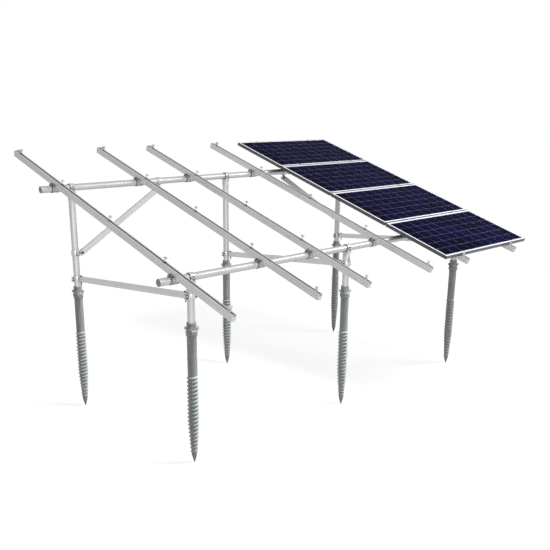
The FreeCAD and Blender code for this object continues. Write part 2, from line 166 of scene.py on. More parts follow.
class NodeSheet:
    """The node tree of one material, with short calls for what the finishes share."""

    def __init__(self, name: str) -> None:
        """Start a material with its principled surface.

        Args:
            name: Name of the material.
        """
        self.material = bpy.data.materials.new(name)
        self.material.use_nodes = True
        self.tree = self.material.node_tree
        self.surface = self.tree.nodes["Principled BSDF"]
        self.output = self.tree.nodes["Material Output"]
        coordinates = self.tree.nodes.new("ShaderNodeTexCoord")
        self.place = coordinates.outputs["Object"]
        self.normal = coordinates.outputs["Normal"]

    def node(self, kind: str, **settings: object) -> bpy.types.Node:
        """Add a node and set its options."""
        made = self.tree.nodes.new(kind)
        for name, value in settings.items():
            setattr(made, name, value)
        return made

    def feed(self, socket: bpy.types.NodeSocket, value: object) -> None:
        """Give an input a link, a number or a colour.

        Args:
            socket: The input.
            value: Another node's output, a number, a vector or a colour.
        """
        if isinstance(value, bpy.types.NodeSocket):
            self.tree.links.new(value, socket)
        elif socket.type == "RGBA":
            socket.default_value = (*value, 1.0)
        else:
            socket.default_value = value

    def set(self, **values: object) -> None:
        """Feed the surface's inputs by name, with _ for each space."""
        for name, value in values.items():
            socket = next(s for s in self.surface.inputs if s.name.lower().replace(" ", "_") == name)
            self.feed(socket, value)

    def laid(self, size: object, turn: tuple = (0, 0, 0),
             centre: tuple = (0, 0, 0)) -> bpy.types.NodeSocket:
        """Coordinates centred, turned and counted in pattern sizes.

        Args:
            size: Size of one unit of the pattern, one number or three.
            turn: Turn of the pattern in radians.
            centre: Place of the pattern's origin.

        Returns:
            The coordinates.
        """
        mapping = self.node("ShaderNodeMapping", vector_type="TEXTURE")
        self.feed(mapping.inputs["Vector"], self.place)
        mapping.inputs["Location"].default_value = centre
        mapping.inputs["Rotation"].default_value = turn
        mapping.inputs["Scale"].default_value = size if isinstance(size, tuple) else (size, size, size)
        return mapping.outputs["Vector"]

    def noise(self, where: bpy.types.NodeSocket, detail: float = 2.0) -> bpy.types.NodeSocket:
        """Cloudy noise, one lump to a unit of the coordinates."""
        made = self.node("ShaderNodeTexNoise")
        self.feed(made.inputs["Vector"], where)
        made.inputs["Scale"].default_value = 1.0
        made.inputs["Detail"].default_value = detail
        return made.outputs["Fac"]

    def grains(self, where: bpy.types.NodeSocket) -> bpy.types.NodeSocket:
        """A random shade for each grain, one grain to a unit of the coordinates."""
        made = self.node("ShaderNodeTexVoronoi", feature="F1")
        self.feed(made.inputs["Vector"], where)
        made.inputs["Scale"].default_value = 1.0
        split = self.node("ShaderNodeSeparateColor")
        self.feed(split.inputs["Color"], made.outputs["Color"])
        return split.outputs["Red"]

    def maths(self, operation: str, *values: object) -> bpy.types.NodeSocket:
        """One step of arithmetic on numbers or outputs."""
        made = self.node("ShaderNodeMath", operation=operation)
        for socket, value in zip(made.inputs, values):
            self.feed(socket, value)
        return made.outputs["Value"]

    def span(self, value: bpy.types.NodeSocket, low: float, high: float,
             start: float = 0.0, end: float = 1.0) -> bpy.types.NodeSocket:
        """Carry a value from one range to another, clamped.

        Args:
            value: The value to carry.
            low: Where the input range starts.
            high: Where the input range ends.
            start: Result at low.
            end: Result at high.

        Returns:
            The result.
        """
        made = self.node("ShaderNodeMapRange", clamp=True)
        for socket, number in zip(made.inputs, (value, low, high, start, end)):
            self.feed(socket, number)
        return made.outputs["Result"]

    def blend(self, share: object, first: object, second: object) -> bpy.types.NodeSocket:
        """Mix two colours by a share from 0 to 1."""
        made = self.node("ShaderNodeMix", data_type="RGBA")
        self.feed(made.inputs["Factor"], share)
        for socket, colour in zip([s for s in made.inputs if s.type == "RGBA"], (first, second)):
            self.feed(socket, colour)
        return next(s for s in made.outputs if s.type == "RGBA")

    def follow(self, pattern: bpy.types.NodeSocket, low: float, high: float) -> bpy.types.NodeSocket:
        """A value that goes from low to high as a noise pattern goes through its usual range."""
        return self.span(pattern, 0.3, 0.7, low, high)

    def relief(self, height: bpy.types.NodeSocket, depth: float, strength: float = 1.0) -> None:
        """Bump the surface.

        Args:
            height: The height pattern, 0 to 1.
            depth: Depth of the relief in metres.
            strength: Share of the effect.
        """
        made = self.node("ShaderNodeBump")
        made.inputs["Strength"].default_value = strength
        made.inputs["Distance"].default_value = depth
        self.feed(made.inputs["Height"], height)
        self.feed(self.surface.inputs["Normal"], made.outputs["Normal"])


@dataclass(frozen=True)
class DrawnAluminium:
    """Aluminium with fine lines along its length, as tubes, rails and braces have.

    Attributes:
        name: Name of the material.
        pale: Colour of the clean surface.
        dull: Colour of the lines and hazy patches.
        along: Direction of the lines.
        metal: How metallic the surface is.
        gloss: Roughness of the smooth parts.
        rim: Shade towards which grazing parts turn.
    """

    name: str
    pale: Colour
    dull: Colour
    along: Vector
    metal: float = 0.92
    gloss: float = 0.42
    rim: float = 0.6

    def shaded(self, sheet: NodeSheet, base: bpy.types.NodeSocket) -> bpy.types.NodeSocket:
        """Paint shade where a kind of profile hides its inside from the light; plain tubes hide
        nothing.
        """
        return base

    def make(self) -> bpy.types.Material:
        """Build the material."""
        sheet = NodeSheet(self.name)
        turn = tuple(self.along.to_track_quat("Z", "Y").to_euler())
        lines = sheet.noise(sheet.laid((0.004, 0.004, 1.2), turn), 2.0)
        haze = sheet.noise(sheet.laid((0.05, 0.05, 0.3), turn), 3.0)
        both = sheet.maths("MULTIPLY_ADD", lines, 0.5, sheet.maths("MULTIPLY", haze, 0.5))
        base = sheet.blend(sheet.span(both, 0.36, 0.62), self.pale, self.dull)
        sheet.set(
            base_color=self.shaded(sheet, base),
            roughness=sheet.follow(both, self.gloss, self.gloss + 0.14),
            metallic=self.metal,
            specular_tint=(self.rim, self.rim, self.rim),
        )
        sheet.relief(lines, 0.00002, 0.3)
        return sheet.material


@dataclass(frozen=True)
class SlottedAluminium(DrawnAluminium):
    """A rail's drawn aluminium with painted shade inside the slot.

    Attributes:
        origin: Place on the rail's middle where off the slope is 0.
        tilt: Slope of the rail in radians.
        painted_slot_shade: Colour of the painted shade deep in the slot.
        half_width: Half of the slot's width inside.
        low: Where the slot's floor is, off the slope.
        high: Where the slot's lips end, off the slope.
        lip: Thickness of the lips, over which the painted shade fades.
        blur: Width of the painted shade's edges.
    """

    origin: tuple[float, float, float] = (0.0, 0.0, 0.0)
    tilt: float = 0.0
    painted_slot_shade: Colour = (0.17, 0.17, 0.172)
    half_width: float = 0.0142
    low: float = 0.0798
    high: float = 0.0927
    lip: float = 0.002
    blur: float = 0.0004

    def shaded(self, sheet: NodeSheet, base: bpy.types.NodeSocket) -> bpy.types.NodeSocket:
        """Paint shade on the inside of the slot, between its floor and its lips."""
        split = sheet.node("ShaderNodeSeparateXYZ")
        sheet.feed(split.inputs["Vector"], sheet.laid(1.0, (self.tilt, 0.0, 0.0), self.origin))
        across = sheet.maths("ABSOLUTE", split.outputs["X"])
        inside = sheet.span(across, self.half_width, self.half_width + self.blur, 1.0, 0.0)
        deep = sheet.span(split.outputs["Z"], self.high - self.lip, self.high, 1.0, 0.0)
        above = sheet.span(split.outputs["Z"], self.low, self.low + self.blur)
        share = sheet.maths("MULTIPLY", sheet.maths("MULTIPLY", inside, deep), above)
        return sheet.blend(share, base, self.painted_slot_shade)


@dataclass(frozen=True)
class CastAluminium:
    """Cast aluminium with a fine granular skin and a few dull patches.

    Attributes:
        name: Name of the material.
        pale: Colour of the clean skin.
        dull: Colour of the duller patches.
        grain: Size of the skin's grains.
    """

    name: str
    pale: Colour
    dull: Colour
    grain: float = 0.0014

    def make(self) -> bpy.types.Material:
        """Build the material."""
        sheet = NodeSheet(self.name)
        skin = sheet.noise(sheet.laid(self.grain), 4.0)
        patches = sheet.noise(sheet.laid(0.035), 3.0)
        sheet.set(
            base_color=sheet.blend(sheet.span(patches, 0.4, 0.65), self.pale, self.dull),
            roughness=sheet.follow(skin, 0.42, 0.58),
            metallic=0.9,
            specular_tint=(0.7, 0.7, 0.7),
        )
        sheet.relief(skin, 0.0003, 0.5)
        return sheet.material


@dataclass(frozen=True)
class BrushedSteel:
    """Plated steel of straps, collars and bolts, with brush marks and faint stains.

    Attributes:
        name: Name of the material.
        bright: Colour of the plating.
        stained: Colour where it is stained.
        metal: How metallic the surface is.
    """

    name: str
    bright: Colour
    stained: Colour
    metal: float = 0.8

    def make(self) -> bpy.types.Material:
        """Build the material."""
        sheet = NodeSheet(self.name)
        marks = sheet.noise(sheet.laid((0.012, 0.0007, 0.0007)), 2.0)
        stains = sheet.noise(sheet.laid(0.018), 4.0)
        sheet.set(
            base_color=sheet.blend(sheet.span(stains, 0.42, 0.68), self.bright, self.stained),
            roughness=sheet.follow(marks, 0.32, 0.48),
            metallic=self.metal,
            specular_tint=(0.6, 0.6, 0.6),
        )
        sheet.relief(marks, 0.0001, 0.4)
        return sheet.material


@dataclass(frozen=True)
class GalvanisedSteel:
    """Hot-dip zinc on the ground screws: grey-green crystal flowers, runs and dull patches, with a
    painted highlight on faces that look up and painted shade on faces that look down.

    Attributes:
        name: Name of the material.
        bright: Colour of the brightest flowers.
        deep: Colour of the darkest ones.
        painted_top_light: Colour of faces that look up, a painted highlight.
        painted_underside_shade: Colour of faces that look down, painted shade.
        flower: Size of one crystal flower.
    """

    name: str
    bright: Colour
    deep: Colour
    painted_top_light: Colour
    painted_underside_shade: Colour
    flower: float = 0.009

    def make(self) -> bpy.types.Material:
        """Build the material."""
        sheet = NodeSheet(self.name)
        flowers = sheet.grains(sheet.laid(self.flower))
        runs = sheet.noise(sheet.laid((0.02, 0.02, 0.22)), 4.0)
        fine = sheet.noise(sheet.laid(0.0016), 3.0)
        shade = sheet.maths("MULTIPLY_ADD", flowers, 0.25, sheet.maths("MULTIPLY", runs, 0.75))
        painted_light_facing = sheet.node("ShaderNodeSeparateXYZ")
        sheet.feed(painted_light_facing.inputs["Vector"], sheet.normal)
        base = sheet.blend(sheet.span(shade, 0.2, 0.8), self.deep, self.bright)
        # painted light: faces that look up get a painted highlight, faces that look down get painted
        # shade
        base = sheet.blend(sheet.span(painted_light_facing.outputs["Z"], 0.2, 0.75), base, self.painted_top_light)
        base = sheet.blend(sheet.span(painted_light_facing.outputs["Z"], -0.7, -0.2, 1.0, 0.0), base, self.painted_underside_shade)
        sheet.set(
            base_color=base,
            roughness=sheet.span(shade, 0.25, 0.75, 0.44, 0.3),
            metallic=0.1,
            specular_ior_level=0.4,
            specular_tint=(0.4, 0.4, 0.4),
        )
        sheet.relief(sheet.maths("MULTIPLY_ADD", fine, 0.4, flowers), 0.0001, 0.25)
        return sheet.material


@dataclass(frozen=True)
class AnodisedFrame:
    """The panel frames: a pale lip above in the lit colour, dark grey sides as painted shade, fine
    drawn lines.

    Attributes:
        name: Name of the material.
        lip: Colour of the faces that look off the slope, the lit colour.
        side: Colour of all other faces, painted shade.
        tilt: Slope of the panels in radians.
    """

    name: str
    lip: Colour
    side: Colour
    tilt: float

    def make(self) -> bpy.types.Material:
        """Build the material."""
        sheet = NodeSheet(self.name)
        # painted shade: faces that look off the slope keep the lit lip colour, all other faces take the
        # dark side colour
        painted_light_facing = sheet.node("ShaderNodeVectorMath", operation="DOT_PRODUCT")
        sheet.feed(painted_light_facing.inputs[0], sheet.normal)
        painted_light_facing.inputs[1].default_value = (0.0, -math.sin(self.tilt), math.cos(self.tilt))
        up = sheet.span(painted_light_facing.outputs["Value"], 0.7, 0.9)
        turn = (self.tilt, 0.0, 0.0)
        lines = sheet.noise(sheet.laid((0.3, 0.3, 0.0008), turn), 2.0)
        clouds = sheet.noise(sheet.laid(0.09, turn), 3.0)
        worn = sheet.span(clouds, 0.35, 0.7, 0.0, 0.22)
        base = sheet.blend(up, self.side, self.lip)
        sheet.set(
            base_color=sheet.blend(worn, base, screen(150, 152, 150)),
            roughness=sheet.follow(lines, 0.34, 0.5),
            metallic=0.35,
            specular_tint=(0.7, 0.7, 0.7),
        )
        sheet.relief(lines, 0.00008, 0.5)
        return sheet.material


@dataclass(frozen=True)
class SolarLaminate:
    """Polycrystalline cells under glass with a white back sheet.

    Attributes:
        name: Name of the material.
        centre: Middle of the lowest panel's laminate.
        tilt: Slope of the panels in radians.
        pitch: Distance between two panels up the slope.
        cell_x: Distance between two cells along the beams.
        cell_y: Distance between two cells up the slope.
        columns: Number of cells along the beams.
        rows: Number of cells up the slope.
        gap: Width of the white line between two cells.
        busbar: Width of a busbar.
        blur: Half of the width over which a line's edge fades.
        fingers: Distance between two contact fingers.
        margin: How far the silicon goes on past the outer cells' pitch.
        crystal: Size of the silicon's crystals.
    """

    name: str
    centre: tuple[float, float, float]
    tilt: float
    pitch: float = 0.842
    cell_x: float = 0.1582
    cell_y: float = 0.126
    columns: int = 10
    rows: int = 6
    gap: float = 0.0021
    busbar: float = 0.0016
    blur: float = 0.0002
    fingers: float = 0.0024
    margin: float = 0.009
    crystal: float = 0.011

    def fold(self, sheet: NodeSheet, value: bpy.types.NodeSocket,
             period: float) -> bpy.types.NodeSocket:
        """Distance from the nearest multiple of a period.

        Args:
            sheet: The material in the making.
            value: A coordinate in metres.
            period: The period in metres.

        Returns:
            The distance in metres.
        """
        return sheet.maths("ABSOLUTE", sheet.maths("WRAP", value, period / 2, -period / 2))

    def make(self) -> bpy.types.Material:
        """Build the material."""
        sheet = NodeSheet(self.name)
        turn = (self.tilt, 0.0, 0.0)
        split = sheet.node("ShaderNodeSeparateXYZ")
        sheet.feed(split.inputs["Vector"], sheet.laid(1.0, turn, self.centre))
        x, off = split.outputs["X"], split.outputs["Z"]
        y = sheet.maths("WRAP", split.outputs["Y"], self.pitch / 2, -self.pitch / 2)
        seam_x, seam_y = self.fold(sheet, x, self.cell_x), self.fold(sheet, y, self.cell_y)
        seam = sheet.maths("MINIMUM", seam_x, seam_y)
        clear = sheet.span(seam, self.gap / 2 - self.blur, self.gap / 2 + self.blur)
        inner = 1.0
        for value, half in ((x, self.cell_x * self.columns / 2), (y, self.cell_y * self.rows / 2)):
            reach = sheet.maths("ABSOLUTE", value)
            edge = half + self.margin
            within = sheet.span(reach, edge, edge + self.blur * 2.5, 1.0, 0.0)
            inner = sheet.maths("MULTIPLY", inner, within)
        shifted = sheet.maths("ADD", y, self.cell_y / 6)
        bar = sheet.span(self.fold(sheet, shifted, self.cell_y / 3),
                         self.busbar / 2 - self.blur, self.busbar / 2 + self.blur, 1.0, 0.0)
        finger = sheet.span(self.fold(sheet, x, self.fingers), 0.0001, 0.0003, 0.12, 0.0)
        bent = sheet.node("ShaderNodeVectorMath", operation="ADD")
        cloud = sheet.node("ShaderNodeTexNoise")
        sheet.feed(cloud.inputs["Vector"], sheet.laid(0.02, turn))
        sheet.feed(bent.inputs[0], sheet.laid((self.crystal, self.crystal, 1.0), turn))
        sheet.feed(bent.inputs[1], cloud.outputs["Color"])
        grain = sheet.grains(bent.outputs["Vector"])
        drift = sheet.noise(sheet.laid(0.35, turn), 2.0)
        silicon = sheet.blend(sheet.maths("POWER", grain, 1.6), screen(2, 2, 18), screen(18, 20, 64))
        # the silicon turns darker towards both ends of each panel and in large random patches
        off_centre = sheet.maths("ABSOLUTE", sheet.maths("SUBTRACT", x, 0.06))
        ends = sheet.span(off_centre, 0.42, 0.8, 0.0, 0.85)
        dusk = sheet.maths("MAXIMUM", ends, sheet.span(drift, 0.38, 0.62, 0.0, 0.7))
        silicon = sheet.blend(dusk, silicon, screen(2, 2, 12))
        silicon = sheet.blend(finger, silicon, screen(36, 38, 66))
        silicon = sheet.blend(bar, silicon, screen(34, 36, 60))
        silicon = sheet.blend(clear, screen(122, 116, 158), silicon)
        back = screen(228, 229, 238)
        front = sheet.blend(inner, back, silicon)
        glass = sheet.span(off, -0.0004, 0.0004)
        ripple = sheet.noise(sheet.laid(0.0018, turn), 2.0)
        sheet.set(
            base_color=sheet.blend(glass, screen(88, 89, 96), front),
            roughness=sheet.follow(ripple, 0.2, 0.3),
            specular_ior_level=0.001,
        )
        sheet.relief(ripple, 0.00006, 0.5)
        return sheet.material


@dataclass(frozen=True)
class MouldedPlastic:
    """Moulded plastic with a fine eroded texture and faint flow marks.

    Attributes:
        name: Name of the material.
        colour: Main colour.
        faded: Colour where the sun has bleached it.
    """

    name: str
    colour: Colour
    faded: Colour

    def make(self) -> bpy.types.Material:
        """Build the material."""
        sheet = NodeSheet(self.name)
        pores = sheet.noise(sheet.laid(0.0006), 2.0)
        flow = sheet.noise(sheet.laid((0.03, 0.012, 0.012)), 3.0)
        sheet.set(
            base_color=sheet.blend(sheet.span(flow, 0.4, 0.68), self.colour, self.faded),
            roughness=sheet.follow(pores, 0.5, 0.64),
        )
        sheet.relief(pores, 0.0001, 0.5)
        return sheet.material


@dataclass(frozen=True)
class StudioFloor:
    """A white floor that keeps soft shadows near the object and fades to the backdrop far off.

    Attributes:
        near: Radius within which it is all floor.
        far: Radius past which it is all backdrop.
        chalk: Shade of the floor as a surface.
        lift: Share of plain white that the camera sees in the floor.
    """

    near: float = 4.0
    far: float = 9.0
    chalk: float = 0.37
    lift: float = 0.83

    def make(self) -> bpy.types.Material:
        """Build the material."""
        sheet = NodeSheet("studio_floor")
        length = sheet.node("ShaderNodeVectorMath", operation="LENGTH")
        sheet.feed(length.inputs[0], sheet.place)
        away = sheet.span(length.outputs["Value"], self.near, self.far)
        light = sheet.node("ShaderNodeLightPath")
        seen = sheet.maths("MAXIMUM", light.outputs["Is Camera Ray"], light.outputs["Is Glossy Ray"])
        seen = sheet.maths("MAXIMUM", seen, light.outputs["Is Transmission Ray"])
        chalk = sheet.node("ShaderNodeBsdfDiffuse")
        chalk.inputs["Color"].default_value = (self.chalk, self.chalk, self.chalk, 1.0)
        glow = sheet.node("ShaderNodeEmission")
        sheet.feed(glow.inputs["Strength"], sheet.maths("MULTIPLY", seen, self.lift))
        both = sheet.node("ShaderNodeAddShader")
        sheet.tree.links.new(chalk.outputs["BSDF"], both.inputs[0])
        sheet.tree.links.new(glow.outputs["Emission"], both.inputs[1])
        white = sheet.node("ShaderNodeEmission")
        mixed = sheet.node("ShaderNodeMixShader")
        sheet.feed(mixed.inputs[0], sheet.maths("MULTIPLY", away, seen))
        sheet.tree.links.new(both.outputs["Shader"], mixed.inputs[1])
        sheet.tree.links.new(white.outputs["Emission"], mixed.inputs[2])
        sheet.tree.links.new(mixed.outputs["Shader"], sheet.output.inputs["Surface"])
        sheet.tree.nodes.remove(sheet.surface)
        return sheet.material


class Sketch:
    """A mesh in the making: forms are added one by one and then finished as one piece."""

    def __init__(self) -> None:
        """Start with no form."""
        self.mesh = bmesh.new()

    def bevel(self, edges: list[bmesh.types.BMEdge], width: float, segments: int = 2) -> None:
        """Round off edges."""
        bmesh.ops.bevel(self.mesh, geom=edges, offset=width, offset_type="OFFSET", affect="EDGES",
                        segments=segments, profile=0.5, material=-1, clamp_overlap=True)

    def block(self, low: tuple, high: tuple, place: Matrix, edge: float = 0.0) -> None:
        """Add a box between two corners, with rounded edges.

        Args:
            low: Lowest corner.
            high: Highest corner.
            place: Where the box's frame goes.
            edge: Radius of the edges.
        """
        low, high = Vector(low), Vector(high)
        made = bmesh.ops.create_cube(self.mesh, size=1.0)["verts"]
        bmesh.ops.scale(self.mesh, vec=high - low, verts=made)
        bmesh.ops.translate(self.mesh, vec=(low + high) / 2, verts=made)
        bmesh.ops.transform(self.mesh, matrix=place, verts=made)
        if edge:
            self.bevel(list({e for v in made for e in v.link_edges}), edge)

    def rod(self, radius: float, height: float, place: Matrix, sides: int = 16,
            top_radius: float | None = None, edge: float = 0.0) -> None:
        """Add a rod or cone that stands on its place's XY plane.

        Args:
            radius: Radius at the foot.
            height: Height along Z.
            place: Where the rod's frame goes.
            sides: Number of sides.
            top_radius: Radius at the top, if it differs.
            edge: Radius of the rims.
        """
        top = radius if top_radius is None else top_radius
        lift = slid(0, 0, height / 2)
        made = bmesh.ops.create_cone(self.mesh, cap_ends=True, segments=sides, radius1=radius,
                                     radius2=top, depth=height, matrix=place @ lift)["verts"]
        if edge:
            rims = [e for e in {e for v in made for e in v.link_edges}
                    if any(len(f.verts) == sides for f in e.link_faces) and e.calc_face_angle(0) > 0.9]
            self.bevel(rims, edge)

    def hexagon(self, across: float, height: float, place: Matrix) -> None:
        """Add a hex head or nut whose upper corners are chamfered.

        Args:
            across: Width across the flats.
            height: Height along Z.
            place: Where its seat goes.
        """
        body = height * 0.82
        lift = slid(0, 0, body / 2)
        corner = across / math.sqrt(3)
        made = bmesh.ops.create_cone(self.mesh, cap_ends=True, segments=6, radius1=corner,
                                     radius2=corner, depth=body, matrix=place @ lift)["verts"]
        up = (place.to_3x3() @ Vector((0, 0, 1))).normalized()
        top = max({f for v in made for f in v.link_faces}, key=lambda f: f.calc_center_median().dot(up))
        bmesh.ops.inset_individual(self.mesh, faces=[top], thickness=across * 0.07,
                                   use_even_offset=True)
        bmesh.ops.translate(self.mesh, vec=up * (height - body), verts=list(top.verts))

    def lathe(self, profile: list[tuple[float, float]], place: Matrix, steps: int = 40,
              closed: bool = False) -> None:
        """Turn a (radius, height) line about its place's Z axis.

        Args:
            profile: The line's points, from one end to the other.
            place: Where the axis stands.
            steps: Number of sides.
            closed: Whether the line goes on from its last point to its first.
        """
        verts = [self.mesh.verts.new(place @ Vector((r, 0.0, z))) for r, z in profile]
        following = verts[1:] + verts[:1] if closed else verts[1:]
        edges = [self.mesh.edges.new(pair) for pair in zip(verts, following)]
        axis = place.to_3x3() @ Vector((0, 0, 1))
        bmesh.ops.spin(self.mesh, geom=verts + edges, cent=place.translation, axis=axis, dvec=(0, 0, 0),
                       angle=math.tau, steps=steps, use_merge=True, use_duplicate=False)

    def ring(self, inner: float, outer: float, height: float, place: Matrix) -> None:
        """Add a ring with a softened rim that stands on its place's XY plane.

        Args:
            inner: Inner radius.
            outer: Outer radius.
            height: Height along Z.
            place: Where the ring's frame goes.
        """
        soft = height * 0.3
        rim = [(outer, height - soft), (outer - soft, height)]
        self.lathe([(inner, 0.0), (outer, 0.0), *rim, (inner, height)], place, closed=True)

    def solid_from(self, node: str, edge: float) -> None:
        """Add a merged copy of a CAD node with its sharp edges rounded off.

        Args:
            node: The CAD node.
            edge: Radius of the edges.
        """
        self.mesh.from_mesh(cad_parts[node].data)
        bmesh.ops.remove_doubles(self.mesh, verts=self.mesh.verts, dist=0.00002)
        bmesh.ops.dissolve_limit(self.mesh, angle_limit=math.radians(1.0), verts=self.mesh.verts,
                                 edges=self.mesh.edges)
        limit = math.radians(40)
        sharp = [e for e in self.mesh.edges if e.is_manifold and e.calc_face_angle(0) > limit]
        self.bevel(sharp, edge)

    def finish(self, name: str, material: bpy.types.Material, slot: str,
               replaced: tuple[str, ...] = (), crease: float = 38.0) -> bpy.types.Object:
        """Close the mesh, name it and let it ride on the mount.

        Args:
            name: Name of the piece.
            material: Its finish.
            slot: Name of a material slot; not used.
            replaced: CAD nodes it stands for.
            crease: Angle in degrees past which an edge stays sharp.

        Returns:
            The piece.
        """
        bmesh.ops.remove_doubles(self.mesh, verts=self.mesh.verts, dist=0.000001)
        bmesh.ops.recalc_face_normals(self.mesh, faces=self.mesh.faces)
        for face in self.mesh.faces:
            face.smooth = True
        data = bpy.data.meshes.new(name)
        self.mesh.to_mesh(data)
        self.mesh.free()
        data.set_sharp_from_angle(angle=math.radians(crease))
        data.materials.append(material)
        piece = bpy.data.objects.new(name, data)
        bpy.context.scene.collection.objects.link(piece)
        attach(piece, "root")
        if replaced:
            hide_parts(*replaced)
        log.info("%s: %d faces", name, len(data.polygons))
        return piece


def soften(nodes: tuple[str, ...], edge: float, ending: str, material: bpy.types.Material,
           slot: str) -> None:
    """Build CAD nodes again with their sharp edges rounded off.

    Args:
        nodes: Names of the nodes.
        edge: Radius of the edges.
        ending: What each new piece's name adds to its node's.
        material: Their finish.
        slot: Name of a material slot; not used.
    """
    for node in nodes:
        sketch = Sketch()
        sketch.solid_from(node, edge)
        sketch.finish(f"{node}_{ending}", material, slot, (node,))


@dataclass(frozen=True)
class HexBolt:
    """A hex bolt with a washer and, past a grip, a nut and the thread's end.

    Attributes:
        across: Width across the flats.
        head: Height of the head.
        washer: Radius of the washer.
        washer_height: Thickness of the washer.
        grip: Distance through which the bolt passes, 0 for a bolt that ends inside.
        tail: Length of thread past the nut.
    """

    across: float = 0.016
    head: float = 0.0075
    washer: float = 0.0105
    washer_height: float = 0.0016
    grip: float = 0.0
    tail: float = 0.006

    def add(self, sketch: Sketch, place: Matrix) -> None:
        """Add the bolt with its head up, bearing on its place's XY plane.

        Args:
            sketch: The mesh in the making.
            place: Where the bearing face is.
        """
        raised = place @ slid(0, 0, self.washer_height)
        sketch.rod(self.washer, self.washer_height, place, 18)
        sketch.hexagon(self.across, self.head, raised)
        if self.grip:
            below = place @ slid(0, 0, -self.grip) @ turned(180, "X")
            nut = below @ slid(0, 0, self.washer_height)
            sketch.rod(self.washer, self.washer_height, below, 18)
            sketch.hexagon(self.across, self.head, nut)
            reach = self.washer_height + self.head + self.tail
            thread = self.across * 0.31
            sketch.rod(thread, reach, below, 12, edge=thread * 0.2)


